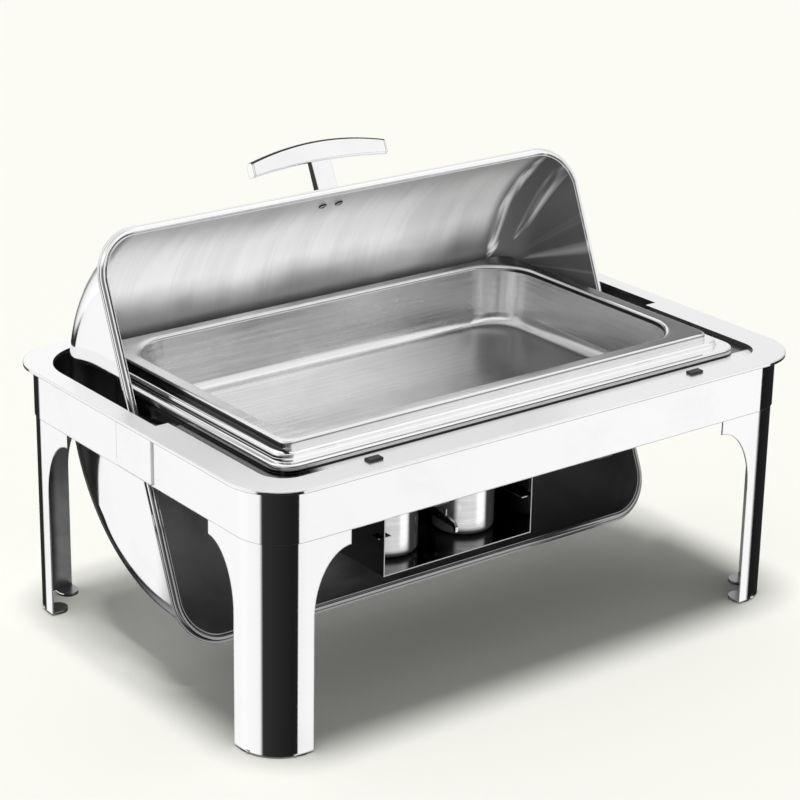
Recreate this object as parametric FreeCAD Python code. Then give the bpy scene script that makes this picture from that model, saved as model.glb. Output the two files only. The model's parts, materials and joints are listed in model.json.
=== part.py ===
import FreeCAD, Part
import math
import os

# Roll top chafer: a stainless frame with four legs carries a full-size water pan and food pan,
# a half-round lid that rolls back and under on two side pivots, and a tray with two fuel burners.
# Millimetres, +Z up, front at -Y, long side along X. Origin: floor level under the frame's centre.

V = FreeCAD.Vector

# frame
FLANGE_X, FLANGE_Y, FLANGE_R = 676.0, 464.0, 55.0
SKIRT_X, SKIRT_Y, SKIRT_R = 656.0, 444.0, 45.0
SHEET = 1.2
TOP_Z = 271.0
SKIRT_Z = 215.0
HEM = 3.5
STEP_Y = -25.0
REAR_X, REAR_Y, REAR_R = 318.0, 212.0, 62.0
LIP_X, LIP_Y, LIP_R = 304.0, -203.0, 28.0
LEDGE_Z = 266.0

# legs and feet
LEG_SHEET = 1.5
LEG_TOP_Z, LEG_FOOT_Z = 262.0, 2.0
LEG_WIDE, LEG_NARROW = 94.0, 53.0
SHOULDER_Z, CURVE_Z = 200.0, 136.0
PAD_R = 11.0

# pans
PAN_Y = 2.0
FOOD_X, FOOD_Y, FOOD_R = 530.0, 325.0, 9.0
FOOD_TOP = 286.5
FOOD_DEPTH = 65.0
FOOD_MOUTH_X, FOOD_MOUTH_Y, FOOD_MOUTH_R = 498.0, 293.0, 50.0
PAN_SHEET = 0.8
WATER_X, WATER_Y, WATER_R = 574.0, 376.0, 22.0
WATER_STEP_X, WATER_STEP_Y, WATER_STEP_R = 550.0, 344.0, 15.0
WATER_TOP, WATER_STEP_Z = 279.0, 273.5
WATER_BOTTOM = 199.0
WATER_MOUTH_X, WATER_MOUTH_Y, WATER_MOUTH_R = 522.0, 316.0, 56.0

# lid
PIVOT_Z = 243.5
LID_R, LID_HALF_X, LID_CORNER = 202.0, 297.5, 42.0
LID_SHEET = 0.8
RIM_OFFSET = 31.5
RIM_X, RIM_Y, RIM_R = 611.0, 416.0, 50.0
RIM_HEM, BEAD_R = 1.8, 3.2
LID_OPEN = 112.7
ARM_IN, ARM_OUT = LID_HALF_X - LID_SHEET - 2.0, LID_HALF_X - LID_SHEET
ARM_RIVETS = ((-17, 58), (17, 58), (0, 74))
BOLT_R = 4.0

# handle, with the lid shut: it stands straight out at the front, low on the curve
SEAT_A = math.radians(163.0)
OUT = V(0, math.cos(SEAT_A), math.sin(SEAT_A))
SEAT = V(0, 0, PIVOT_Z) + OUT * LID_R
HANDLE_X = -5.0
SCREW_X = (HANDLE_X - 10.4, HANDLE_X + 10.4)
GRIP_Y, GRIP_Z = -249.0, PIVOT_Z + 62.5
GRIP_HALF, GRIP_RISE = 85.0, 7.8
GRIP_THICK, GRIP_MID, GRIP_END = 11.0, 21.5, 16.0

# tray and burners
TRAY_X, TRAY_FRONT, TRAY_BACK = 95.5, -90.0, 20.0
TRAY_Z = 80.5
STRAP_Z, STRAP_W = 195.5, 18.0
TRAY_SCREWS = (-72.0, 2.0)
SHELF_Z = 120.5
SHELF_TABS = (-80.0, 8.0)
BURNER_X, BURNER_Y = 50.0, -33.0
CUP_R, CUP_TOP = 33.0, 130.0
HINGE_Y = BURNER_Y + CUP_R + 3.2

SIDES = (("left", -1), ("right", 1))


def box(x0, x1, y0, y1, z0, z1):
    return Part.makeBox(x1 - x0, y1 - y0, z1 - z0, V(x0, y0, z0))


def rounded(x0, x1, y0, y1, r, z):
    """A closed wire: a rectangle with round corners, level at height z."""
    k = r * math.sin(math.pi / 4)
    edges = []
    corners = ((x1 - r, y1 - r, 1, 1), (x0 + r, y1 - r, -1, 1),
               (x0 + r, y0 + r, -1, -1), (x1 - r, y0 + r, 1, -1))
    ends = []
    for n, (cx, cy, sx, sy) in enumerate(corners):
        first, last = V(cx + sx * r, cy, z), V(cx, cy + sy * r, z)
        if n % 2:
            first, last = last, first
        edges.append(Part.Arc(first, V(cx + sx * k, cy + sy * k, z), last).toShape())
        ends.append((first, last))
    for n in range(4):
        edges.append(Part.makeLine(ends[n][1], ends[(n + 1) % 4][0]))
    return Part.Wire(Part.__sortEdges__(edges))


def slab(x0, x1, y0, y1, r, z0, z1):
    """A solid with a rounded rectangle for its plan."""
    return Part.Face(rounded(x0, x1, y0, y1, r, z0)).extrude(V(0, 0, z1 - z0))


def centred(x, y, r, z0, z1, grow=0.0, yc=0.0):
    """A rounded slab centred on the frame, its sides moved outwards by grow."""
    hx, hy = x / 2 + grow, y / 2 + grow
    return slab(-hx, hx, yc - hy, yc + hy, r + grow, z0, z1)


def cylinder(r, length, base, axis):
    return Part.makeCylinder(r, length, V(*base), V(*axis))


def edges_at(shape, z, tol=0.01):
    """The edges that lie wholly at height z."""
    return [e for e in shape.Edges
            if abs(e.BoundBox.ZMin - z) < tol and abs(e.BoundBox.ZMax - z) < tol]


def tub(top, bottom, z1, z0, r_floor, yc):
    """A tapered tub-shaped solid between two rounded rectangles (x, y, r), round along its floor."""
    wires = []
    for (x, y, r), z in ((bottom, z0), (top, z1)):
        wires.append(rounded(-x / 2, x / 2, yc - y / 2, yc + y / 2, r, z))
    solid = Part.makeLoft(wires, True, True)
    return solid.makeFillet(r_floor, edges_at(solid, z0))


def prism_x(points, x0, x1):
    """A polygon of (y, z) points, extruded along X."""
    wire = Part.makePolygon([V(x0, y, z) for y, z in points + points[:1]])
    return Part.Face(wire).extrude(V(x1 - x0, 0, 0))


def one(shape):
    """The single solid of a shape, with needless seams taken out."""
    clean = shape.removeSplitter()
    return clean.Solids[0] if len(clean.Solids) == 1 else clean


# ---------------------------------------------------------------- frame


def front_of(shape, y):
    return shape.common(box(-400, 400, -400, y, 0, 400))


def rear_of(shape, y):
    return shape.common(box(-400, 400, y, 400, 0, 400))


def lip_slab(grow, z0, z1):
    """The opening's front half, in plan, cut off at the step."""
    whole = slab(-LIP_X - grow, LIP_X + grow, LIP_Y - grow, 120, LIP_R + grow, z0, z1)
    return front_of(whole, STEP_Y)


def rear_slab(grow, z0, z1):
    """The opening's rear half, where the lid passes down behind the pans."""
    whole = slab(-REAR_X - grow, REAR_X + grow, -120, REAR_Y + grow, REAR_R + grow, z0, z1)
    return rear_of(whole, STEP_Y)


def frame_ring():
    flange = centred(FLANGE_X, FLANGE_Y, FLANGE_R, TOP_Z - HEM, TOP_Z)
    flange = flange.makeFillet(1.0, edges_at(flange, TOP_Z))
    flange = flange.cut(centred(FLANGE_X, FLANGE_Y, FLANGE_R, 0, TOP_Z - SHEET, -SHEET))
    skirt = centred(SKIRT_X, SKIRT_Y, SKIRT_R, SKIRT_Z, TOP_Z - SHEET)
    skirt = skirt.cut(centred(SKIRT_X, SKIRT_Y, SKIRT_R, 0, 400, -SHEET))
    bottom = LEDGE_Z - 2 * SHEET
    opening = lip_slab(0, 0, 400).fuse(rear_slab(0, 0, 400))
    lip = lip_slab(SHEET, bottom, TOP_Z).cut(lip_slab(0, bottom + SHEET, TOP_Z))
    lip = lip.cut(slab(-290, 290, -190, 193, 22, 0, 400))
    rear_hem = rear_slab(SHEET, TOP_Z - 4, TOP_Z - SHEET).cut(rear_slab(0, 0, 400))
    ring = flange.cut(opening).fuse([skirt, lip, rear_hem])
    holes = [cylinder(4.0, 10, (s * 332, 0, PIVOT_Z), (-s, 0, 0)) for _, s in SIDES]
    return one(ring.cut(Part.makeCompound(holes)))


def pan_ring():
    """The ledge under the water pan's rim, free of the frame behind the step."""
    z0 = LEDGE_Z - SHEET
    front = front_of(slab(-303.5, 303.5, -202.5, 60, 27.5, z0, LEDGE_Z), STEP_Y - 0.5)
    rear = slab(-290, 290, -190, 193, 30, z0, LEDGE_Z)
    wall = slab(-290, 290, -190, 193, 30, 250, z0).cut(slab(-288.8, 288.8, -188.8, 191.8, 28.8, 0, 400))
    wall = rear_of(wall, STEP_Y - 0.5)
    mouth = centred(WATER_MOUTH_X, WATER_MOUTH_Y, WATER_MOUTH_R, 0, 400, 3.5, PAN_Y)
    return one(front.fuse([rear, wall]).cut(mouth))


def leg(sx, sy):
    """One corner leg: a bent sheet whose two arms narrow below a shoulder, with two foot tabs."""
    hx, hy = SKIRT_X / 2 - SHEET, SKIRT_Y / 2 - SHEET
    r = SKIRT_R - SHEET
    sheet = slab(-hx, hx, -hy, hy, r, LEG_FOOT_Z, LEG_TOP_Z)
    sheet = sheet.cut(slab(-hx + LEG_SHEET, hx - LEG_SHEET, -hy + LEG_SHEET, hy - LEG_SHEET,
                           r - LEG_SHEET, 0, 400))

    def arm(w, z):
        return V(sx * (hx - w), 0, z)

    span, rise = LEG_WIDE - LEG_NARROW, SHOULDER_Z - CURVE_Z
    quarter = [arm(LEG_WIDE - span * math.sin(a), SHOULDER_Z - rise * (1 - math.cos(a)))
               for a in [math.pi / 2 * k / 8 for k in range(9)]]
    curve = Part.BSplineCurve()
    curve.interpolate(quarter)
    out, low, high = -8.0, LEG_FOOT_Z, LEG_TOP_Z
    corners = [arm(LEG_NARROW, CURVE_Z), arm(LEG_NARROW, low), arm(out, low), arm(out, high),
               arm(LEG_WIDE, high), arm(LEG_WIDE, SHOULDER_Z)]
    lines = [Part.makeLine(a, b) for a, b in zip(corners[:-1], corners[1:])]
    outline = Part.Face(Part.Wire(Part.__sortEdges__(lines + [curve.toShape()])))
    along_y = outline.copy()
    along_y.translate(V(0, -400, 0))
    along_y = along_y.extrude(V(0, 800, 0))
    # the same outline seen from the side: swing it a quarter turn about the leg's own corner
    along_x = outline.copy()
    turn = 90 * sx * sy
    along_x.rotate(V(sx * hx, 0, 0), V(0, 0, 1), turn)
    along_x.translate(V(0, sy * hy, 0))
    along_x.translate(V(-400 - sx * hx, 0, 0))
    along_x = along_x.extrude(V(800, 0, 0))
    half = box(min(0, sx * 400), max(0, sx * 400), min(0, sy * 400), max(0, sy * 400), 0, 400)
    body = sheet.common(along_y).common(along_x).common(half)
    tabs = []
    for x, y, dx, dy in foot_places(sx, sy):
        disc = cylinder(PAD_R, LEG_SHEET, (x, y, LEG_FOOT_Z), (0, 0, 1))
        x2, y2 = x + dx * PAD_R, y + dy * PAD_R
        wide = PAD_R if dx == 0 else 0
        deep = PAD_R if dy == 0 else 0
        strap = box(min(x, x2) - wide, max(x, x2) + wide, min(y, y2) - deep, max(y, y2) + deep,
                    LEG_FOOT_Z, LEG_FOOT_Z + LEG_SHEET)
        tabs += [disc, strap]
    return one(body.fuse(tabs))


def foot_places(sx, sy):
    """The two foot pads of a leg: centre, and the direction of the wall each is bent from."""
    inset = SHEET + LEG_SHEET / 2 + PAD_R
    along = LEG_NARROW - PAD_R
    x, y = SKIRT_X / 2, SKIRT_Y / 2
    return ((sx * (x - inset), sy * (y - SHEET - along), sx, 0),
            (sx * (x - SHEET - along), sy * (y - inset), 0, sy))


def foot_pads():
    pads = []
    for sx in (-1, 1):
        for sy in (-1, 1):
            pads += [cylinder(PAD_R, LEG_FOOT_Z, (x, y, 0), (0, 0, 1))
                     for x, y, _, _ in foot_places(sx, sy)]
    return Part.makeCompound(pads)


def bumper(s):
    block = box(s * 200 - 7.8, s * 200 + 7.8, -213.2, -205, TOP_Z, TOP_Z + 2.6)
    return block.makeFillet(1.0, edges_at(block, TOP_Z + 2.6))


def hinge_cover(s):
    """A shallow pressed plate over each pivot bolt, on the outside of the skirt."""
    x0, x1 = SKIRT_X / 2, SKIRT_X / 2 + 1.8
    outer = prism_x([(-35, 216.5), (28, 216.5), (28, 266), (-35, 266)], x0, x1)
    round_edge = [e for e in outer.Edges
                  if abs(e.BoundBox.YMin - 28) < 0.01 and abs(e.BoundBox.YMax - 28) < 0.01
                  and abs(e.BoundBox.ZMax - 216.5) < 0.01]
    outer = outer.makeFillet(8, round_edge)
    face = [e for e in outer.Edges
            if abs(e.BoundBox.XMin - x1) < 0.01 and abs(e.BoundBox.XMax - x1) < 0.01]
    outer = outer.makeFillet(0.5, face)
    plate = outer.cut(box(x0 - 1, x1 - 0.8, -34, 27 - 7, 217.5, 265))
    plate = plate.cut(box(x0 - 1, x1 - 0.8, 19, 27, 225.5, 265))
    return mirrored(plate, s)


def mirrored(shape, s):
    return shape if s > 0 else shape.mirror(V(0, 0, 0), V(1, 0, 0))


def both(make):
    """A compound of one shape on the right and its mirror image on the left."""
    return Part.makeCompound([mirrored(make, s) for _, s in SIDES])


# ---------------------------------------------------------------- pivots


def hexagon(across, x0, x1):
    r = across / math.sqrt(3)
    points = [(r * math.cos(math.radians(60 * k)), PIVOT_Z + r * math.sin(math.radians(60 * k)))
              for k in range(6)]
    return prism_x(points, x0, x1)


def pivot_bolt():
    shank = cylinder(BOLT_R, SKIRT_X / 2 - 290.9, (290.9, 0, PIVOT_Z), (1, 0, 0))
    head = cylinder(9, 0.9, (SKIRT_X / 2, 0, PIVOT_Z), (1, 0, 0))
    return one(shank.fuse(head))


def pivot_tube(r, x0, x1):
    tube = cylinder(r, x1 - x0, (x0, 0, PIVOT_Z), (1, 0, 0))
    return tube.cut(cylinder(BOLT_R, x1 - x0, (x0, 0, PIVOT_Z), (1, 0, 0)))


def pivot_nut():
    nut = hexagon(13, 291.2, 293.9)
    return nut.cut(cylinder(BOLT_R, 10, (288, 0, PIVOT_Z), (1, 0, 0)))


# ---------------------------------------------------------------- lid


def lid_rest(shape):
    """Turn a shape modelled with the lid shut to where the open lid rests."""
    turned = shape.copy()
    turned.rotate(V(0, 0, PIVOT_Z), V(1, 0, 0), -LID_OPEN)
    return turned


def drum(grow):
    """The half-round lid as a full drum about the pivot, round where it meets its ends."""
    r, hx = LID_R + grow, LID_HALF_X + grow
    solid = cylinder(r, 2 * hx, (-hx, 0, PIVOT_Z), (1, 0, 0))
    rims = [e for e in solid.Edges if abs(e.BoundBox.XMax - e.BoundBox.XMin) < 0.01]
    return solid.makeFillet(LID_CORNER + grow, rims)


def lid_rim():
    """A rolled bead round the lid's edge, with a thin hem standing out behind it."""
    z0 = PIVOT_Z + RIM_OFFSET
    z1 = z0 + 2 * BEAD_R
    bead = centred(RIM_X, RIM_Y, RIM_R, z0, z1, -RIM_HEM)
    bead = bead.cut(centred(RIM_X, RIM_Y, RIM_R, z0, z1, -RIM_HEM - 2 * BEAD_R))
    bead = bead.makeFillet(BEAD_R - 0.05, edges_at(bead, z0) + edges_at(bead, z1))
    hem = centred(RIM_X, RIM_Y, RIM_R, z0 + BEAD_R, z0 + BEAD_R + 1.4)
    hem = hem.makeFillet(0.5, edges_at(hem, z0 + BEAD_R))
    return bead.fuse(hem)


def lid_shell():
    z0 = PIVOT_Z + RIM_OFFSET
    inner = drum(-LID_SHEET)
    shell = drum(0).common(box(-400, 400, -400, 400, z0, 500)).cut(inner)
    lid = shell.fuse(lid_rim().cut(inner))
    holes = [cylinder(2.0, 12, (s * 290, y, PIVOT_Z + z), (s, 0, 0))
             for _, s in SIDES for y, z in ARM_RIVETS]
    return one(lid_rest(lid.cut(Part.makeCompound(holes + handle_shanks()))))


def hinge_arm(s):
    """A flat arm riveted inside the lid's end, reaching past the rim to the pivot."""
    foot = [(-14 * math.cos(a), PIVOT_Z - 14 * math.sin(a))
            for a in [math.pi * k / 12 for k in range(13)]]
    blade = [(14, PIVOT_Z), (27, PIVOT_Z + 46), (27, PIVOT_Z + 68), (8, PIVOT_Z + 84),
             (-8, PIVOT_Z + 84), (-27, PIVOT_Z + 68), (-27, PIVOT_Z + 46)]
    arm = prism_x(foot[:-1] + blade, ARM_IN, ARM_OUT)
    arm = arm.cut(cylinder(BOLT_R + 0.05, 20, (285, 0, PIVOT_Z), (1, 0, 0)))
    holes = [cylinder(2.0, 12, (290, y, PIVOT_Z + z), (1, 0, 0)) for y, z in ARM_RIVETS]
    return mirrored(lid_rest(arm.cut(Part.makeCompound(holes))), s)


def arm_rivets():
    rivets = []
    for y, z in ARM_RIVETS:
        at = PIVOT_Z + z
        shank = cylinder(2.0, LID_HALF_X - ARM_IN, (ARM_IN, y, at), (1, 0, 0))
        inside = cylinder(3.8, 1.2, (ARM_IN - 1.2, y, at), (1, 0, 0))
        outside = cylinder(3.8, 1.2, (LID_HALF_X, y, at), (1, 0, 0))
        rivets.append(one(shank.fuse([inside, outside])))
    right = lid_rest(Part.makeCompound(rivets))
    return Part.makeCompound(right.Solids + mirrored(right, -1).Solids)


def handle_shanks():
    """The two screws' shanks, square to the shell, inside the handle's foot."""
    return [Part.makeCylinder(2.0, 9.5, SEAT - OUT * 1.5 + V(x, 0, 0), OUT) for x in SCREW_X]


def handle_screws():
    screws = []
    for shank, x in zip(handle_shanks(), SCREW_X):
        under = SEAT - OUT * (LID_SHEET + 0.02) + V(x, 0, 0)
        head = Part.makeCylinder(4.2, 2.2, under - OUT * 2.2, OUT)
        head = head.makeFillet(1.4, [e for e in head.Edges
                                     if e.CenterOfMass.distanceToPoint(under - OUT * 2.2) < 0.1])
        screws.append(one(shank.fuse(head)))
    return lid_rest(Part.makeCompound(screws))


def handle_stem():
    """A flat strap from the shell to the middle of the grip."""
    z = PIVOT_Z
    side = [(-180, z + 55.6), (-200, z + 56.2), (-242, z + 59), (-242, z + 65.6), (-200, z + 65),
            (-180, z + 64.5)]
    stem = prism_x(side, HANDLE_X - 13.0, HANDLE_X + 13.0)
    ends = [e for e in stem.Edges if e.BoundBox.XMax - e.BoundBox.XMin < 0.01
            and e.BoundBox.YMax - e.BoundBox.YMin > 15]
    stem = stem.makeFillet(1.5, ends).cut(drum(0)).cut(grip_bar(GRIP_HALF))
    return lid_rest(one(stem.cut(Part.makeCompound(handle_shanks()))))


def grip_bar(half):
    """An arched bar along X, deeper in the middle than at its ends, drooping to the lid."""

    def at(x, way):
        t = x / GRIP_HALF
        deep = (GRIP_MID + (GRIP_END - GRIP_MID) * t * t) / 2
        return V(HANDLE_X + x, GRIP_Y + GRIP_RISE * t * t + way * deep, GRIP_Z - GRIP_THICK / 2)

    edges = []
    for way in (1, -1):
        curve = Part.BSplineCurve()
        curve.interpolate([at(-half + half * k / 4, way) for k in range(9)])
        edges.append(curve.toShape())
    edges += [Part.makeLine(at(x, 1), at(x, -1)) for x in (-half, half)]
    bar = Part.Face(Part.Wire(Part.__sortEdges__(edges))).extrude(V(0, 0, GRIP_THICK))
    return bar.makeFillet(4.0, [e for e in bar.Edges if e.BoundBox.XMax - e.BoundBox.XMin > 100])


def grip():
    middle = box(HANDLE_X - GRIP_HALF + 2, HANDLE_X + GRIP_HALF - 2, -300, -200, 200, 400)
    return lid_rest(one(grip_bar(GRIP_HALF).common(middle)))


def grip_cap(s):
    """The cap that closes one end of the grip."""
    x0, x1 = sorted((HANDLE_X + s * (GRIP_HALF - 2), HANDLE_X + s * (GRIP_HALF + 2)))
    return lid_rest(one(grip_bar(GRIP_HALF).common(box(x0, x1, -300, -200, 200, 400))))


# ---------------------------------------------------------------- pans


def water_pan():
    t = PAN_SHEET
    low = centred(WATER_X, WATER_Y, WATER_R, LEDGE_Z, WATER_STEP_Z, 0, PAN_Y)
    low = low.makeFillet(2.0, edges_at(low, WATER_STEP_Z))
    high = centred(WATER_STEP_X, WATER_STEP_Y, WATER_STEP_R, LEDGE_Z, WATER_TOP, 0, PAN_Y)
    high = high.makeFillet(2.0, edges_at(high, WATER_TOP))
    hollow = centred(WATER_X, WATER_Y, WATER_R, LEDGE_Z - 1, WATER_STEP_Z - t, -t, PAN_Y)
    hollow = hollow.fuse(
        centred(WATER_STEP_X, WATER_STEP_Y, WATER_STEP_R, LEDGE_Z, WATER_TOP - t, -t, PAN_Y))
    top = (WATER_MOUTH_X, WATER_MOUTH_Y, WATER_MOUTH_R)
    foot = (WATER_MOUTH_X - 16, WATER_MOUTH_Y - 16, WATER_MOUTH_R - 6)
    outside = tub([v + 2 * t if n < 2 else v + t for n, v in enumerate(top)],
                  [v + 2 * t if n < 2 else v + t for n, v in enumerate(foot)],
                  WATER_TOP, WATER_BOTTOM, 14 + t, PAN_Y)
    inside = tub(top, foot, WATER_TOP, WATER_BOTTOM + t, 14, PAN_Y)
    rim = low.fuse(high).cut(hollow)
    return one(rim.fuse(outside).cut(inside))


def food_pan():
    t = PAN_SHEET
    rim = centred(FOOD_X, FOOD_Y, FOOD_R, WATER_TOP, FOOD_TOP, 0, PAN_Y)
    rim = rim.makeFillet(1.2, edges_at(rim, FOOD_TOP))
    rim = rim.cut(centred(FOOD_X, FOOD_Y, FOOD_R, WATER_TOP - 1, FOOD_TOP - t, -t, PAN_Y))
    top = (FOOD_MOUTH_X, FOOD_MOUTH_Y, FOOD_MOUTH_R)
    foot = (FOOD_MOUTH_X - 18, FOOD_MOUTH_Y - 18, FOOD_MOUTH_R - 6)
    floor = FOOD_TOP - FOOD_DEPTH
    outside = tub([v + 2 * t if n < 2 else v + t for n, v in enumerate(top)],
                  [v + 2 * t if n < 2 else v + t for n, v in enumerate(foot)],
                  FOOD_TOP, floor, 12 + t, PAN_Y)
    inside = tub(top, foot, FOOD_TOP, floor + t, 12, PAN_Y)
    return one(rim.fuse(outside).cut(inside))


# ---------------------------------------------------------------- burner tray

def hanger(s):
    """A bent strap from the front of the pan ring, under the water pan, to its rear."""
    t, z1 = 1.5, LEDGE_Z - SHEET
    front, back, low = -189.0, 187.0, STRAP_Z
    path = [(front + 16, z1), (front, z1), (front, low), (back, low), (back, z1), (back - 16, z1)]
    inner = [(back - 16, z1 - t), (back - t, z1 - t), (back - t, low + t), (front + t, low + t),
             (front + t, z1 - t), (front + 16, z1 - t)]
    x0 = TRAY_X - 1.0
    strap = prism_x(path + inner, x0, x0 + STRAP_W)
    holes = [cylinder(2.0, 10, (x0 + STRAP_W - 7, y, low - 4), (0, 0, 1)) for y in TRAY_SCREWS]
    return mirrored(strap.cut(Part.makeCompound(holes)), s)


def fuel_tray():
    t = SHEET
    floor = box(-TRAY_X, TRAY_X, TRAY_FRONT, TRAY_BACK, TRAY_Z, TRAY_Z + t)
    parts = [floor, box(-TRAY_X, TRAY_X, TRAY_BACK - t, TRAY_BACK, TRAY_Z, TRAY_Z + 20)]
    cuts = []
    for _, s in SIDES:
        wall = box(TRAY_X - t, TRAY_X, TRAY_FRONT, TRAY_BACK, TRAY_Z, STRAP_Z)
        ear = box(TRAY_X - t, TRAY_X + 16, TRAY_FRONT, TRAY_BACK, STRAP_Z - t, STRAP_Z)
        parts += [mirrored(wall, s), mirrored(ear, s)]
        x = TRAY_X - 1.0 + STRAP_W - 7
        cuts += [cylinder(2.0, 10, (s * x, y, STRAP_Z - 5), (0, 0, 1)) for y in TRAY_SCREWS]
        cuts += [mirrored(box(TRAY_X - 3, TRAY_X + 2, y - 6, y + 6, SHELF_Z, SHELF_Z + t), s)
                 for y in SHELF_TABS]
    return one(parts[0].fuse(parts[1:]).cut(Part.makeCompound(cuts)))


def burner_shelf():
    """A plate with two open notches that keep the burners in place, held by tabs in the tray's walls."""
    t = SHEET
    x = TRAY_X - t
    plate = box(-x, x, TRAY_FRONT + 3, 14, SHELF_Z, SHELF_Z + t)
    cuts = [box(-17, 17, TRAY_FRONT, -22, SHELF_Z - 1, SHELF_Z + 3)]
    for _, s in SIDES:
        cuts.append(cylinder(34.5, 4, (s * BURNER_X, BURNER_Y, SHELF_Z - 1), (0, 0, 1)))
        cuts.append(box(s * BURNER_X - 34.5, s * BURNER_X + 34.5, TRAY_FRONT, BURNER_Y,
                        SHELF_Z - 1, SHELF_Z + 3))
    tabs = []
    for _, s in SIDES:
        for y in SHELF_TABS:
            tabs.append(mirrored(box(x - 1, TRAY_X + 4, y - 6, y + 6, SHELF_Z, SHELF_Z + t), s))
    return one(plate.cut(Part.makeCompound(cuts)).fuse(tabs))


def tray_screws():
    screws = []
    for _, s in SIDES:
        x = s * (TRAY_X - 1.0 + STRAP_W - 7)
        for y in TRAY_SCREWS:
            shank = cylinder(2.0, SHEET + 1.5, (x, y, STRAP_Z - SHEET), (0, 0, 1))
            head = cylinder(4.0, 1.6, (x, y, STRAP_Z - SHEET - 1.6), (0, 0, 1))
            top = cylinder(3.4, 1.2, (x, y, STRAP_Z + 1.5), (0, 0, 1))
            screws.append(one(shank.fuse([head, top])))
    return Part.makeCompound(screws)


def turned(points, x, y):
    """A solid of revolution about a vertical line, from (radius, height) points."""
    wire = Part.makePolygon([V(x + r, y, z) for r, z in points + points[:1]])
    return Part.Face(wire).revolve(V(x, y, 0), V(0, 0, 1), 360)


def burner_cup(s):
    x, z0, t = s * BURNER_X, TRAY_Z + SHEET, 1.0
    block = cylinder(CUP_R, CUP_TOP - z0, (x, BURNER_Y, z0), (0, 0, 1))
    block = block.makeFillet(6.0, edges_at(block, z0))
    core = cylinder(CUP_R - t, CUP_TOP, (x, BURNER_Y, z0 + t), (0, 0, 1))
    core = core.makeFillet(5.0, edges_at(core, z0 + t))
    cup = block.cut(core)
    lug = box(x - 7, x + 7, BURNER_Y + CUP_R - 0.8, BURNER_Y + CUP_R + 6, CUP_TOP - 7.7, CUP_TOP - 1)
    cup = cup.fuse(lug.cut(core))
    return one(cup.cut(cylinder(1.6, 20, (x - 10, HINGE_Y, CUP_TOP - 4), (1, 0, 0))))


def burner_cover(s):
    """A shallow snuffer cap on the cup, with two ears on the hinge pin."""
    x, z = s * BURNER_X, CUP_TOP + 0.1
    cap = turned([(0, z + 9), (12, z + 8.6), (24, z + 6.8), (31, z + 4.4), (34, z + 2.2), (34, z),
                  (33, z), (33, z + 1.7), (30.6, z + 3.5), (23.7, z + 5.8), (12, z + 7.6),
                  (0, z + 8)], x, BURNER_Y)
    ears = []
    for side in (-1, 1):
        x0 = x + side * 8.4 - 1.0
        knuckle = cylinder(3.2, 2, (x0, HINGE_Y, CUP_TOP - 4), (1, 0, 0))
        ear = prism_x([(HINGE_Y - 3.2, CUP_TOP - 4), (HINGE_Y - 3.2, z + 0.4),
                       (HINGE_Y - 6.5, z + 0.4), (HINGE_Y - 6.5, z + 2.2),
                       (HINGE_Y + 3.2, z + 2.2), (HINGE_Y + 3.2, CUP_TOP - 4)], x0, x0 + 2)
        ears.append(ear.fuse(knuckle))
    bore = cylinder(1.65, 24, (x - 12, HINGE_Y, CUP_TOP - 4), (1, 0, 0))
    inside = cylinder(33, 1.6, (x, BURNER_Y, z), (0, 0, 1))
    return one(cap.fuse([e.cut(inside) for e in ears]).cut(bore))


def cover_pin(s):
    return cylinder(1.6, 21, (s * BURNER_X - 10.5, HINGE_Y, CUP_TOP - 4), (1, 0, 0))


def burner_handle(s):
    """A strap handle on the cup's left side, running forward and down to a turned tip."""
    x, y = s * BURNER_X - CUP_R, BURNER_Y
    pad = box(x - 10.3, x + 6, y - 3, y + 9, 105, 116)
    pad = pad.cut(cylinder(CUP_R, 200, (s * BURNER_X, y, 0), (0, 0, 1)))
    bar = prism_x([(y + 9, 105), (y + 9, 116), (y - 3, 116), (y - 40, 107), (y - 43, 103),
                   (y - 43, 98), (y - 40, 98), (y - 38, 102)], x - 10.3, x - 7.3)
    stud = cylinder(1.5, 7.0, (x - 8.8, y - 24, 110), (0, 0, 1))
    return one(pad.fuse([bar, stud]))


NODES = {
    "frame_ring": frame_ring(),
    "pan_ring": pan_ring(),
    "leg_front_left": leg(-1, -1),
    "leg_front_right": leg(1, -1),
    "leg_rear_left": leg(-1, 1),
    "leg_rear_right": leg(1, 1),
    "foot_pads": foot_pads(),
    "pivot_bolts": both(pivot_bolt()),
    "pivot_spacers": both(pivot_tube(7.0, ARM_OUT + 0.4, SKIRT_X / 2 - SHEET)),
    "pivot_washers": both(pivot_tube(7.5, 293.9, ARM_IN - 0.1)),
    "pivot_nuts": both(pivot_nut()),
    "fuel_tray": fuel_tray(),
    "burner_shelf": burner_shelf(),
    "tray_screws": tray_screws(),
    "lid_shell": lid_shell(),
    "arm_rivets": arm_rivets(),
    "handle_stem": handle_stem(),
    "handle_grip": grip(),
    "handle_screws": handle_screws(),
    "water_pan": water_pan(),
    "food_pan": food_pan(),
}
PAIRS = {
    "lid_bumper": bumper,
    "hinge_cover": hinge_cover,
    "hinge_arm": hinge_arm,
    "grip_cap": grip_cap,
    "hanger": hanger,
    "burner_cup": burner_cup,
    "burner_cover": burner_cover,
    "cover_pin": cover_pin,
    "burner_handle": burner_handle,
}
for name, make in PAIRS.items():
    for side, sign in SIDES:
        NODES[name + "_" + side] = make(sign)

os.makedirs("parts", exist_ok=True)
for name, shape in NODES.items():
    shape.exportStep("parts/" + name + ".step")
    print(name, len(shape.Solids), shape.isValid(), round(shape.Volume, 1))
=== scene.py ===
import json
import math

import bmesh
import bpy
from mathutils import Matrix, Vector


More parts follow.
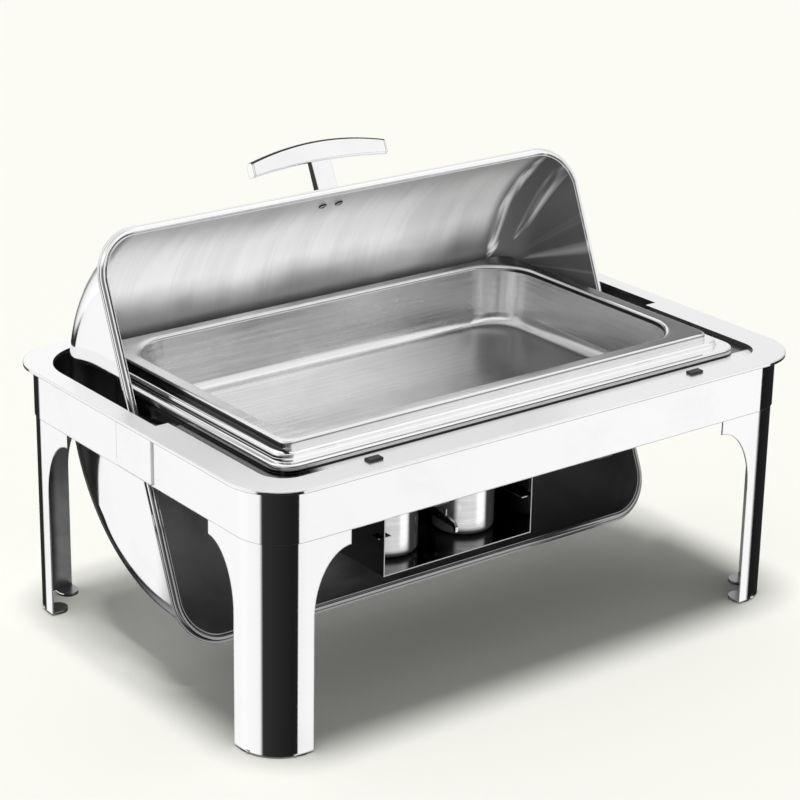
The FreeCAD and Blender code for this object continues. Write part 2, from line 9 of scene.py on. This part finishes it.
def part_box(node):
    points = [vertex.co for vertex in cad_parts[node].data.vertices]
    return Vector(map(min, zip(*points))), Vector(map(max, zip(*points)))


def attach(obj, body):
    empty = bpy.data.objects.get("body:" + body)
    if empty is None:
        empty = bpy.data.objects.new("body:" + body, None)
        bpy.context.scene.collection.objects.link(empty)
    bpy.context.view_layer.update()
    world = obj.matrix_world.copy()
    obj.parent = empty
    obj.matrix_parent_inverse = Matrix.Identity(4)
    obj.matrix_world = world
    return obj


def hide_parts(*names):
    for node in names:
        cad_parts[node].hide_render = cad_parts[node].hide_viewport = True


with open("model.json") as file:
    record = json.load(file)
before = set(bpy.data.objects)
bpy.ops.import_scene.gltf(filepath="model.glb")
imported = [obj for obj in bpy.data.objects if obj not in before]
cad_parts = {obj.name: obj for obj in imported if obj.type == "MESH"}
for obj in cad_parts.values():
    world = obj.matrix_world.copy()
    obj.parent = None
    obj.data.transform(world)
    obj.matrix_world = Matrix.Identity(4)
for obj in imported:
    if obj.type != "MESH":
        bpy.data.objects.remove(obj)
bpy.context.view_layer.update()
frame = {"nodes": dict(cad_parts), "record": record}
nodes = frame["nodes"]
scene = bpy.context.scene

# ---------------------------------------------------------------- sizes and colours

LEFT, RIGHT, FRONT, UP = (-1, 0, 0), (1, 0, 0), (0, -1, 0), (0, 0, 1)
STEEL = (0.94, 0.94, 0.945)

# Half lengths and half widths of the pans, at the edge of the rim and at the mouth of the well.
FOOD_FLANGE, FOOD_MOUTH = (0.265, 0.1625), (0.249, 0.1465)
WATER_SKIRT, WATER_STEP, WATER_MOUTH = (0.287, 0.188), (0.275, 0.172), (0.262, 0.159)
WELL_TAPER = 0.009              # how much narrower each well is at its floor, on each side
FLOOR_MIDDLE = (0.020, 0.015)   # the floors close in on a small patch of this half size
PAN_SHEET = 0.0008
FOOD_FOLD, FOOD_DEPTH = 0.0074, 0.0642
WATER_DROP, WATER_FOLD, WATER_DEPTH = 0.0055, 0.0128, 0.0792

pivot_z = (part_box("pivot_bolts")[0].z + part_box("pivot_bolts")[1].z) / 2
food_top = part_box("food_pan")[1].z
water_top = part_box("water_pan")[1].z


def grey(level, cast=0.0):
    """An opaque grey, a little bluer by cast."""
    return (level, level, level + cast, 1)


def toned(colour, share):
    """An opaque colour, darker or paler by share."""
    return (*(min(1, part * share) for part in colour), 1)


# ---------------------------------------------------------------- shader building

class Nodes:
    """A short way to write a node tree: each method adds what it needs and returns an output."""

    def __init__(self, tree):
        self.tree = tree

    def add(self, kind, **settings):
        node = self.tree.nodes.new(kind)
        for key, value in settings.items():
            setattr(node, key, value)
        return node

    def put(self, socket, value):
        """Links an output to the socket, or sets the socket to a plain value."""
        if isinstance(value, bpy.types.NodeSocket):
            self.tree.links.new(value, socket)
        else:
            socket.default_value = value

    def fill(self, node, values):
        """Puts each value in the socket of its name or number, and returns the node's outputs."""
        for key, value in values.items():
            self.put(node.inputs[key], value)
        return node.outputs

    def math(self, operation, a, b):
        return self.fill(self.add("ShaderNodeMath", operation=operation), {0: a, 1: b})[0]

    def plus(self, a, b):
        return self.math("ADD", a, b)

    def minus(self, a, b):
        return self.math("SUBTRACT", a, b)

    def times(self, a, b):
        return self.math("MULTIPLY", a, b)

    def larger(self, a, b):
        return self.math("MAXIMUM", a, b)

    def size_of(self, a):
        return self.math("ABSOLUTE", a, 0.0)

    def angle(self, rise, run):
        return self.math("ARCTAN2", rise, run)

    def vector(self, operation, a, b):
        return self.fill(self.add("ShaderNodeVectorMath", operation=operation), {0: a, 1: b})

    def split(self, vector):
        return self.fill(self.add("ShaderNodeSeparateXYZ"), {0: vector})

    def mix(self, factor, a, b):
        """The colour a where factor is 0 and b where it is 1."""
        node = self.add("ShaderNodeMix", data_type="RGBA")
        return self.fill(node, {"Factor": factor, "A": a, "B": b})["Result"]

    def blend(self, factor, a, b):
        """The number a where factor is 0 and b where it is 1."""
        a_socket, b_socket = 2, 3
        return self.fill(self.add("ShaderNodeMix"), {0: factor, a_socket: a, b_socket: b})[0]

    def ramp(self, value, low, high, start=0.0, end=1.0):
        """Goes smoothly from start to end while value goes from low to high."""
        node = self.add("ShaderNodeMapRange", interpolation_type="SMOOTHSTEP")
        return self.fill(node, {"Value": value, "From Min": low, "From Max": high,
                                "To Min": start, "To Max": end})["Result"]

    def between(self, value, low, high, soft=0.0004):
        """1 where value lies between low and high, with a soft edge."""
        return self.times(self.ramp(value, low - soft, low + soft),
                          self.ramp(value, high - soft, high + soft, 1.0, 0.0))


class Shader(Nodes):
    """The nodes of one material. Places and directions are in the object's own frame, at rest."""

    def __init__(self, name):
        self.material = bpy.data.materials.new(name)
        self.material.use_nodes = True
        super().__init__(self.material.node_tree)
        self.bsdf = self.tree.nodes["Principled BSDF"].inputs
        coordinates = self.add("ShaderNodeTexCoord").outputs
        self.place, self.normal = coordinates["Object"], coordinates["Normal"]
        self.x, self.y, self.z = self.split(self.place)

    def stretch(self, scale, turn=(0, 0, 0)):
        node = self.add("ShaderNodeMapping")
        return self.fill(node, {"Vector": self.place, "Scale": scale, "Rotation": turn})["Vector"]

    def noise(self, scale, detail=3.0, rough=0.5, where=None, warp=0.0):
        where = self.place if where is None else where
        return self.fill(self.add("ShaderNodeTexNoise"),
                         {"Vector": where, "Scale": scale, "Detail": detail,
                          "Roughness": rough, "Distortion": warp})["Fac"]

    def hairlines(self, scale, turn=(0, 0, 0)):
        """Fine parallel scratches: noise drawn out along the axis with the smallest scale."""
        return self.noise(1.0, 5, 0.65, self.stretch(scale, turn))

    def bump(self, height, strength, distance, before=None):
        node = self.add("ShaderNodeBump")
        if before is not None:
            self.put(node.inputs["Normal"], before)
        return self.fill(node, {"Height": height, "Strength": strength, "Distance": distance})["Normal"]

    def edges(self, radius):
        """1 along the sharp edges of the mesh, 0 away from them."""
        rounded = self.fill(self.add("ShaderNodeBevel", samples=4), {"Radius": radius})["Normal"]
        sharp = self.add("ShaderNodeNewGeometry").outputs["Normal"]
        alike = self.vector("DOT_PRODUCT", rounded, sharp)["Value"]
        return self.ramp(alike, 0.80, 0.995, 1.0, 0.0)

    def turned_to(self, way, low, high):
        """1 on the faces turned along way, falling to 0 where the cosine drops to low."""
        cosine = self.vector("DOT_PRODUCT", self.normal, Vector(way).normalized())["Value"]
        return self.ramp(cosine, low, high)

    def turned_either_way(self, way, low, high):
        """The same on the faces turned along way and on those turned straight against it."""
        return self.larger(self.turned_to(way, low, high), self.turned_to(-Vector(way), low, high))

    def outward(self, centre, level=False):
        """How far each face looks away from a point of the object; with level, only sideways counts."""
        arm = self.vector("SUBTRACT", self.place, centre)["Vector"]
        arm = self.vector("MULTIPLY", arm, (1, 1, 0 if level else 1))["Vector"]
        return self.vector("DOT_PRODUCT", arm, self.normal)["Value"]

    def over(self, amount, colour, rough, matt=0.0):
        """Lays another finish over the look where amount is 1, with a share of it matt."""
        if matt:
            self.put(self.bsdf["Metallic"], self.ramp(amount, 0.0, 1.0, 1.0, 1.0 - matt))
        under = self.bsdf["Base Color"].links[0].from_socket
        self.put(self.bsdf["Base Color"], self.mix(amount, under, colour))
        under = self.bsdf["Roughness"].links[0].from_socket
        self.put(self.bsdf["Roughness"], self.blend(amount, under, rough))


# ---------------------------------------------------------------- kinds of steel

def polished(name, colour, rough=0.045, edge=0.45, reach=0.0012):
    """Mirror-polished stainless: faint smears, hairline scratches, waves, and duller, greyer edges."""
    s = Shader(name)
    s.bsdf["Metallic"].default_value = 1.0
    smear = s.ramp(s.noise(9, 5, 0.6, warp=0.6), 0.45, 0.75)
    along = s.ramp(s.hairlines((25, 900, 900), (0.3, 0.2, 0.5)), 0.58, 0.72)
    across = s.ramp(s.hairlines((800, 30, 700), (0.1, 0.6, 0.2)), 0.60, 0.74)
    scratch = s.larger(along, across)
    worn = s.edges(reach)
    tone = s.mix(smear, toned(colour, 1.0), toned(colour, 0.95))
    s.put(s.bsdf["Base Color"], s.mix(worn, tone, toned(colour, edge)))
    rough = s.plus(s.times(smear, 0.035), rough)
    rough = s.plus(rough, s.times(scratch, 0.05))
    s.put(s.bsdf["Roughness"], s.plus(rough, s.times(worn, 0.3)))
    wave = s.bump(s.noise(5, 2, 0.4), strength=0.05, distance=0.004)
    s.put(s.bsdf["Normal"], s.bump(scratch, strength=0.03, distance=0.0002, before=wave))
    return s


def satin(name, colour, rough, grain, end_grain=None, depth=0.10):
    """Brushed stainless: a grain along one axis, another on the faces across it, cloudy where drawn."""
    s = Shader(name)
    s.bsdf["Metallic"].default_value = 1.0
    lines = s.hairlines(grain)
    if end_grain:
        ends = s.turned_either_way(RIGHT, 0.6, 0.8)
        lines = s.mix(ends, lines, s.hairlines(end_grain))
    cloud = s.ramp(s.noise(7, 4, 0.6, warp=1.2), 0.35, 0.7)
    shade = s.plus(s.times(s.ramp(lines, 0.35, 0.65), 0.6), s.times(cloud, 0.4))
    tone = s.mix(shade, toned(colour, 0.84), toned(colour, 1.0))
    s.put(s.bsdf["Base Color"], s.mix(s.edges(0.0012), tone, toned(colour, 1.1)))
    rough = s.ramp(lines, 0.3, 0.7, rough - 0.05, rough + 0.06)
    s.put(s.bsdf["Roughness"], s.plus(rough, s.times(cloud, 0.05)))
    s.put(s.bsdf["Normal"], s.bump(lines, depth, distance=0.0003))
    return s


# ---------------------------------------------------------------- the look of each piece

def lid_look():
    """The lid: polished outside, satin inside, with painted light and shade: inside, a pale rippled stripe
    up the curve, painted reflections fanning over the end walls and a dark lower part; outside, a darkened
    lower rim.
    """
    s = polished("lid_steel", STEEL)
    ripple = s.noise(1.0, 3, 0.55, s.stretch((30, 4, 4), (0, 0.12, 0.1)), 0.5)
    lines = s.hairlines((420, 5, 5))

    # climb is the angle up the curve, in radians from straight back, with a slow wander.
    band_starts, band_fades = (0.20, 0.46), (0.66, 0.98)
    wander = s.times(s.minus(s.noise(6, 3, 0.5), 0.5), 0.30)
    climb = s.plus(s.angle(s.minus(s.z, pivot_z), s.y), wander)
    # Painted light: a pale stripe climbs the inside of the curve, faint low down and a little dimmer at
    # the top, rippled by the grain.
    lit_band = s.times(s.ramp(climb, *band_starts, 0.20, 1.0), s.ramp(climb, *band_fades, 1.0, 0.66))
    fine = s.plus(s.times(lines, 0.3), s.times(ripple, 0.7))
    curve = s.times(lit_band, s.ramp(fine, 0.35, 0.6, 0.86, 1.0))

    # Painted reflections fan out in streaky rays over the end walls from their rear lower corners.
    fan_y, fan_z = 0.205, 0.262
    end_wall = (0.250, 0.268)
    fan = s.angle(s.minus(s.z, fan_z), s.minus(fan_y, s.y))
    spread = s.fill(s.add("ShaderNodeCombineXYZ"), {0: s.times(fan, 2.6), 1: s.times(s.x, 34.0)})[0]
    painted_streaks = s.ramp(s.noise(1.0, 3, 0.6, spread, 0.4), 0.50, 0.66, 0.10, 0.85)
    # upper is the painted light of the upper inside, with the painted reflections on the end walls.
    upper = s.mix(s.ramp(s.size_of(s.x), *end_wall), curve, painted_streaks)

    # The part that hangs below the pans is painted dark as shade, with a painted pale cloud of reflected
    # light towards the left.
    lower = s.ramp(s.minus(s.noise(5, 4, 0.6, warp=1.5), s.x), 0.25, 0.85, 0.02, 0.26)
    shade = s.mix(s.ramp(climb, -0.10, 0.14), lower, upper)
    inside = s.ramp(s.outward((0, 0, pivot_z)), -0.15, -0.12, 1.0, 0.0)
    # The inside takes this painted light and shade, from nearly black to white, and is half matt.
    s.over(inside, s.mix(shade, grey(0.03), grey(1)), s.ramp(ripple, 0.3, 0.7, 0.30, 0.42), matt=0.5)

    # Painted shade: the outside darkens towards the bottom of the lower rim.
    lower_rim = (-1.75, -1.45)
    rim = s.times(s.minus(1.0, inside), s.ramp(climb, *lower_rim, 0.7, 0.0))
    s.over(rim, grey(0.10), 0.22)
    return s


def handle_look():
    """The grip and its end caps: polished, with a painted dark reflection along the upper back edge."""
    s = polished("handle_steel", STEEL, edge=0.05)
    dark_reflection_way = (0, 0.386, 0.92)
    # Painted reflection: faces turned up and back are nearly black.
    s.over(s.turned_to(dark_reflection_way, 0.35, 0.6), grey(0.02), 0.25)
    return s


def stem_look():
    """The handle's strap: polished, with a painted dark reflection on its left side."""
    s = polished("stem_steel", STEEL)
    # Painted reflection: faces turned left are nearly black.
    s.over(s.turned_to(LEFT, 0.5, 0.85), grey(0.03), 0.25)
    return s


def screw_look():
    """Bright domed heads with a painted dark reflection round the rim."""
    s = polished("screw_steel", STEEL)
    into_the_lid = (0, -0.639, -0.769)
    # Painted reflection: all but the faces turned along into_the_lid are nearly black.
    s.over(s.minus(1.0, s.turned_to(into_the_lid, 0.55, 0.85)), grey(0.03), 0.3)
    return s


def food_pan_look():
    """Brushed steel, the flange's top painted with shade from pale at the left end to dark at the right,
    and painted shadow lines along its edge.
    """
    s = satin("pan_steel", (0.92, 0.92, 0.925), 0.20, (6, 260, 260), (260, 6, 260), 0.015)
    # Painted shade: the top of the flange goes from pale at the left end to nearly black at the right.
    palest, darkest = -0.12, 0.27
    shade = s.ramp(s.minus(s.x, s.times(s.y, 0.2)), palest, darkest, 0.0, 0.95)
    s.over(s.times(shade, s.turned_to(UP, 0.9, 0.98)), grey(0.07), 0.24)
    # Painted shadow lines along the flange's rolled edge: a wide one on the left side and a thin, fainter
    # one in front.
    wide_shadow_line = s.between(s.z, food_top - 0.0062, food_top - 0.0024)
    thin_shadow_line = s.between(s.z, food_top - 0.0030, food_top - 0.0018)
    left = s.times(s.turned_to(LEFT, 0.6, 0.9), wide_shadow_line)
    front = s.times(s.turned_to(FRONT, 0.6, 0.9), thin_shadow_line)
    s.over(s.larger(left, s.times(front, 0.7)), grey(0.04), 0.3)
    return s


def water_pan_look():
    """Polished, with painted shadow lines under each fold of the rim, a painted pale strip between them in
    front, and painted shadow where the food pan's flange rests at the left.
    """
    s = polished("water_pan_steel", STEEL)
    front, left = s.turned_to(FRONT, 0.5, 0.8), s.turned_to(LEFT, 0.5, 0.8)

    def line(upper, lower):
        """1 between two depths below the top of the rim."""
        return s.between(s.z, water_top - lower, water_top - upper)

    # Painted light: a pale matt strip in front, between two of the dark lines.
    s.over(s.times(front, line(0.0072, 0.0100)), grey(0.85), 0.35, matt=0.8)
    # Painted shadow: dark lines under each fold of the rim, the outer ones in front and all of them on the
    # left.
    outer_fold_shadows = s.larger(line(0.0100, WATER_FOLD), line(0.0060, 0.0072))
    all_fold_shadows = s.larger(outer_fold_shadows, line(0.0030, 0.0056))
    fold_shadows = s.larger(s.times(front, outer_fold_shadows), s.times(left, all_fold_shadows))

    # Painted shadow on the water pan's top next to the left edge of the food pan's flange.
    flange_edge = -FOOD_FLANGE[0]
    top_face = s.times(s.turned_to(UP, 0.8, 0.9), s.ramp(s.z, water_top - 0.004, water_top - 0.002))
    joint_shadow = s.times(s.between(s.x, flange_edge - 0.0034, flange_edge + 0.0010), top_face)
    s.over(s.larger(fold_shadows, joint_shadow), grey(0.02), 0.3)
    return s


def ring_look():
    """The ring the pans sit on: darkened all over with painted shade, and pale along the front with
    painted light.
    """
    # The dark satin colour is painted shade.
    s = satin("ring_steel", (0.16, 0.16, 0.163), 0.20, (300, 10, 300))
    # Painted light: the upper faces along the front are pale and matt.
    front_side, left_corner = (-0.182, -0.178), (-0.262, -0.235)
    front = s.times(s.ramp(s.y, *front_side, 1.0, 0.0), s.ramp(s.x, *left_corner))
    s.over(s.times(front, s.turned_to(UP, 0.8, 0.9)), grey(0.9), 0.35, matt=0.8)
    return s


def cover_look():
    """The plate over each pivot: polished on its face, pale at its sheared sides, with a painted shadow of
    the flange along the top.
    """
    s = polished("cover_steel", STEEL, edge=0.25, reach=0.002)
    s.over(s.turned_either_way(FRONT, 0.5, 0.9), grey(0.97), 0.6, matt=0.97)
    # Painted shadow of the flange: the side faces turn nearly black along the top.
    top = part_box("hinge_cover_left")[1].z
    flange_shadow = s.ramp(s.z, top - 0.0046, top - 0.0038)
    s.over(s.times(s.turned_either_way(RIGHT, 0.8, 0.95), flange_shadow), grey(0.04), 0.4)
    return s


def cup_look():
    """Spun steel: a broad painted highlight down the wall, in front and behind, and painted shade
    darkening the rest.
    """
    s = satin("cup_steel", STEEL, 0.20, (12, 12, 260), depth=0.02)
    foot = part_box("burner_cup_left")[0].z
    # Painted highlight: a bright stripe down the wall, front and back, above the foot, and on the faces
    # turned up; painted shade darkens the rest.
    highlight_patch = s.turned_either_way((0.39, 0.92, 0), 0.83, 0.93)
    highlight_patch = s.times(highlight_patch, s.ramp(s.z, foot + 0.004, foot + 0.010))
    highlight_patch = s.larger(highlight_patch, s.turned_to(UP, 0.5, 0.8))
    s.over(s.minus(1.0, highlight_patch), grey(0.06, 0.001), 0.10)
    s.bsdf["Metallic"].default_value = 0.5
    return s


def tray_look():
    """Glossy, darkened with painted shade: nearly black but for the faces turned to the front, so its cut
    edges in front stay bright.
    """
    s = polished("tray_steel", (0.55, 0.55, 0.555), 0.07)
    # Painted shade: every face but those turned to the front is nearly black.
    s.over(s.minus(1.0, s.turned_to(FRONT, 0.9, 0.98)), grey(0.17, 0.003), 0.07)
    return s


def sheet_look(name, upper_satin_and_shade):
    """The frame's pressed sheet: polished outside, satin on its upper faces, which on the legs are
    darkened with painted shade, and inside a dark unpolished finish deepened with painted shade.
    """
    s = polished(name, STEEL, edge=0.15, reach=0.002)
    # Upper faces: satin, and on the legs painted dark as shade.
    s.over(s.turned_to(UP, 0.97, 0.99), upper_satin_and_shade, 0.30)
    # Inside: a cloudy unpolished finish, made nearly black with painted shade.
    mill_and_shade = s.mix(s.noise(30, 4, 0.6, warp=0.4), grey(0.09, 0.002), grey(0.25, 0.003))
    inside = s.ramp(s.outward((0, 0, 0), level=True), -0.02, 0.0, 1.0, 0.0)
    s.over(inside, mill_and_shade, 0.34)
    return s


def rubber_look():
    """Black rubber: fine grit, a little dust, and paler worn edges."""
    s = Shader("rubber")
    grit = s.noise(900, 3, 0.6)
    dust = s.ramp(s.noise(40, 4), 0.45, 0.8)
    tone = s.mix(dust, grey(0.018, 0.001), grey(0.045, 0.001))
    s.put(s.bsdf["Base Color"], s.mix(s.edges(0.0008), tone, grey(0.08)))
    s.put(s.bsdf["Roughness"], s.ramp(grit, 0.3, 0.7, 0.5, 0.7))
    s.put(s.bsdf["Normal"], s.bump(grit, strength=0.3, distance=0.0003))
    return s


looks = {
    "mirror_steel": polished("mirror_steel", STEEL),
    "satin_steel": satin("satin_steel", (0.90, 0.90, 0.905), 0.20, (6, 260, 260), depth=0.04),
    "dark_steel": satin("dark_steel", (0.10, 0.10, 0.105), 0.20, (300, 10, 300)),
    "zinc_steel": satin("zinc_steel", (0.80, 0.81, 0.83), 0.16, (400, 400, 60)),
    "rubber": rubber_look(),
}
slots = {part["node"]: part["material_slot"] for part in frame["record"]["subparts"]}
for name, node in nodes.items():
    node.data.materials.clear()
    node.data.materials.append(looks[slots[name]].material)

own_looks = (
    (lid_look(), ("lid_shell",)),
    (handle_look(), ("handle_grip", "grip_cap_left", "grip_cap_right")),
    (stem_look(), ("handle_stem",)),
    (screw_look(), ("handle_screws",)),
    (cup_look(), ("burner_cup_left", "burner_cup_right")),
    (cover_look(), ("hinge_cover_left", "hinge_cover_right")),
    (tray_look(), ("fuel_tray", "burner_shelf")),
    (ring_look(), ("pan_ring",)),
    (sheet_look("sheet_of_frame_ring", grey(0.93, 0.005)), ("frame_ring",)),
    # The legs' upper faces are painted dark as shade.
    (sheet_look("sheet_of_leg_front_left", grey(0.30, 0.005)),
     ("leg_front_left", "leg_front_right", "leg_rear_left", "leg_rear_right")),
)
for look, names in own_looks:
    for name in names:
        nodes[name].data.materials[0] = look.material


# ---------------------------------------------------------------- pans

def ring(half_x, half_y, radius, z, middle_y, steps=10):
    """The points of a level rounded rectangle, anticlockwise."""
    points = []
    for corner, (sx, sy) in enumerate(((1, 1), (-1, 1), (-1, -1), (1, -1))):
        for n in range(steps + 1):
            a = math.pi / 2 * (corner + n / steps)
            points.append(Vector((sx * (half_x - radius) + radius * math.cos(a),
                                  middle_y + sy * (half_y - radius) + radius * math.sin(a), z)))
    return points


def bend(half, radius, z, cut=0, inset=0.0):
    """One bend of a pan's profile: its rounded rectangle, and the length it is cut back by to round it."""
    return Vector((half[0] - inset, half[1] - inset, radius, z)), cut


def soften(bends, steps=6):
    """The rings of a profile with each bend rounded."""
    rings = []
    for n, (key, cut) in enumerate(bends):
        if cut == 0:
            rings.append(key)
            continue
        ends = []
        for other in (bends[n - 1][0], bends[n + 1][0]):
            way = other - key
            length = math.hypot(way[0], way[3])
            ends.append(key + way * min(0.5, cut / length))
        for k in range(steps + 1):
            t = k / steps
            rings.append(ends[0] * (1 - t) ** 2 + key * 2 * t * (1 - t) + ends[1] * t ** 2)
    return rings


def pan(name, node, bends, look):
    """A drawn sheet-metal pan, from the edge of its rim inwards to the middle of its floor."""
    low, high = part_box(node)
    middle_y = (low.y + high.y) / 2
    mesh = bmesh.new()
    loops = [[mesh.verts.new(v) for v in ring(*r, middle_y)] for r in soften(bends)]
    for outer, inner in zip(loops[:-1], loops[1:]):
        for n in range(len(outer)):
            m = (n + 1) % len(outer)
            mesh.faces.new((outer[n], outer[m], inner[m], inner[n]))
    mesh.faces.new(loops[-1])
    for face in mesh.faces:
        face.smooth = True
    data = bpy.data.meshes.new(name)
    mesh.to_mesh(data)
    mesh.free()
    data.materials.append(look.material)
    piece = bpy.data.objects.new(name, data)
    scene.collection.objects.link(piece)
    wall = piece.modifiers.new("sheet", "SOLIDIFY")
    wall.thickness = PAN_SHEET
    wall.offset = -1
    wall.use_even_offset = True
    shade = piece.modifiers.new("normals", "WEIGHTED_NORMAL")
    shade.keep_sharp = True
    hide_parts(node)
    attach(piece, node)


pan("food_pan_drawn", "food_pan", (
    bend(FOOD_FLANGE, 0.009, food_top - FOOD_FOLD),
    bend(FOOD_FLANGE, 0.009, food_top, cut=0.003),
    bend(FOOD_MOUTH, 0.050, food_top, cut=0.004),
    bend(FOOD_MOUTH, 0.044, food_top - FOOD_DEPTH, cut=0.014, inset=WELL_TAPER),
    bend(FLOOR_MIDDLE, 0.010, food_top - FOOD_DEPTH),
), food_pan_look())
pan("water_pan_drawn", "water_pan", (
    bend(WATER_SKIRT, 0.022, water_top - WATER_FOLD),
    bend(WATER_SKIRT, 0.022, water_top - WATER_DROP, cut=0.0026),
    bend(WATER_STEP, 0.015, water_top - WATER_DROP, cut=0.0014),
    bend(WATER_STEP, 0.015, water_top, cut=0.0026),
    bend(WATER_MOUTH, 0.057, water_top, cut=0.003),
    bend(WATER_MOUTH, 0.050, water_top - WATER_DEPTH, cut=0.015, inset=WELL_TAPER),
    bend(FLOOR_MIDDLE, 0.010, water_top - WATER_DEPTH),
), water_pan_look())


# ---------------------------------------------------------------- studio

def floor(half=40):
    """A wide pale matt floor."""
    look = Shader("floor")
    look.bsdf["Base Color"].default_value = (0.98, 0.98, 0.915, 1)
    look.bsdf["Roughness"].default_value = 0.9
    look.bsdf["Specular IOR Level"].default_value = 0.0
    mesh = bpy.data.meshes.new("floor")
    corners = ((-half, -half, 0), (half, -half, 0), (half, half, 0), (-half, half, 0))
    mesh.from_pydata(corners, [], [(0, 1, 2, 3)])
    mesh.materials.append(look.material)
    piece = bpy.data.objects.new("floor", mesh)
    scene.collection.objects.link(piece)
    piece.visible_glossy = False


# What the steel reflects round the room at each height: pairs of a bearing in degrees, anticlockwise
# from the right, and the brightness there.
STEEPLY_DOWN = ((-180, 0.30), (-160, 0.05), (-50, 0.04), (-30, 0.10), (10, 0.45), (90, 0.55),
                (150, 0.50), (180, 0.30))
DOWN = ((-180, 0.98), (-171, 0.94), (-164, 0.03), (-90, 0.012), (-77, 0.015), (-75, 0.94),
        (-57, 0.97), (-44, 1.02), (-40, 1.03), (-36, 0.01), (25, 0.02), (33, 0.95),
        (58, 0.85), (64, 0.03), (109, 0.02), (112, 0.96), (122, 1.0), (140, 1.04),
        (180, 0.98))
JUST_DOWN = ((-180, 1.0), (-158, 0.95), (-146, 0.20), (-128, 0.85), (-105, 1.0), (-84, 0.25),
             (-74, 1.0), (-38, 1.05), (-26, 0.15), (-10, 0.85), (20, 1.0), (32, 0.35),
             (44, 0.95), (66, 0.9), (76, 0.15), (92, 0.9), (112, 1.1), (180, 1.0))
UPWARDS = ((-180, 0.95), (-164, 0.30), (-110, 0.10), (-77, 0.35), (-60, 1.0), (-20, 0.9),
           (20, 0.55), (40, 0.88), (48, 0.92), (62, 1.05), (90, 0.9), (120, 1.0),
           (180, 0.95))


def studio_world():
    """Soft even light for matt surfaces, and for the steel a room of white panels and dark gaps."""
    world = bpy.data.worlds.new("studio")
    scene.world = world
    world.use_nodes = True
    s = Nodes(world.node_tree)
    x, y, z = s.split(s.add("ShaderNodeTexCoord").outputs["Generated"])
    turn = s.plus(s.math("DIVIDE", s.angle(y, x), 2 * math.pi), 0.5)

    def panels(levels):
        """The brightness all round the room from one of the tables above."""
        node = s.add("ShaderNodeValToRGB")
        s.put(node.inputs["Fac"], turn)
        stops = node.color_ramp.elements
        stops[0].color = grey(levels[0][1])
        stops[1].color = grey(levels[-1][1])
        for bearing, level in levels[1:-1]:
            stops.new((bearing + 180) / 360).color = grey(level)
        return node.outputs["Color"]

    def sine(degrees):
        return math.sin(math.radians(degrees))

    # The panels meet softly, each pair between two values of z, the sine of the elevation.
    lower = s.mix(s.ramp(z, -0.285, -0.255), panels(DOWN), panels(JUST_DOWN))
    side = s.mix(s.ramp(z, -0.06, 0.04), lower, panels(UPWARDS))
    ceiling = s.mix(s.ramp(z, 0.80, 0.95), grey(1.12), grey(0.62))
    room = s.mix(s.ramp(z, sine(38), sine(48)), side, ceiling)
    room = s.mix(s.ramp(z, sine(-46), sine(-33), 1.0, 0.0), room, panels(STEEPLY_DOWN))
    path = s.add("ShaderNodeLightPath").outputs
    lit = s.mix(path["Is Diffuse Ray"], room, grey(0.30))
    backdrop = (0.975, 0.975, 0.905, 1)
    background = s.tree.nodes["Background"].inputs
    s.put(background["Color"], s.mix(path["Is Camera Ray"], lit, backdrop))
    background["Strength"].default_value = 1.0


def direction(azimuth, elevation):
    """The unit vector towards a place round the object, in degrees from the front and from level."""
    a, e = math.radians(azimuth), math.radians(elevation)
    return Vector((math.sin(a) * math.cos(e), -math.cos(a) * math.cos(e), math.sin(e)))


def sun(name, azimuth, elevation, strength, angle, only=()):
    """A broad lamp that the steel doesn't mirror; with only, it lights nothing but those nodes."""
    lamp = bpy.data.lights.new(name, "SUN")
    lamp.energy = strength
    lamp.angle = math.radians(angle)
    piece = bpy.data.objects.new(name, lamp)
    scene.collection.objects.link(piece)
    piece.rotation_euler = direction(azimuth, elevation).to_track_quat("Z", "Y").to_euler()
    piece.visible_glossy = False
    if only:
        lit = bpy.data.collections.new("lit_by_" + name)
        for node in only:
            lit.objects.link(nodes[node])
        piece.light_linking.receiver_collection = lit


def camera_at(azimuth, elevation, roll, place, lens, shift):
    """A camera at place, looking at the object from the given side, with its back to direction()."""
    data = bpy.data.cameras.new("camera")
    data.sensor_width = 36
    data.lens = lens
    data.shift_x, data.shift_y = shift
    piece = bpy.data.objects.new("camera", data)
    scene.collection.objects.link(piece)
    back = direction(azimuth, elevation)
    right = (-back).cross(Vector(UP)).normalized()
    upright = Matrix((right, back.cross(right), back)).transposed()
    piece.matrix_world = (Matrix.Translation(place) @ upright.to_4x4()
                          @ Matrix.Rotation(math.radians(roll), 4, "Z"))
    scene.camera = piece


floor()
studio_world()
sun("key", azimuth=-80, elevation=88, strength=2.12, angle=15)
sun("low_fill", azimuth=-20, elevation=15, strength=3.9, angle=25,
    only=("lid_shell", "burner_cup_left", "burner_cup_right"))
camera_at(azimuth=-36.522, elevation=20.137, roll=0.581, place=Vector((-1.4712, -1.8859, 1.1309)),
          lens=112.5, shift=(0.06406, -0.03986))
scene.view_settings.view_transform = "Standard"
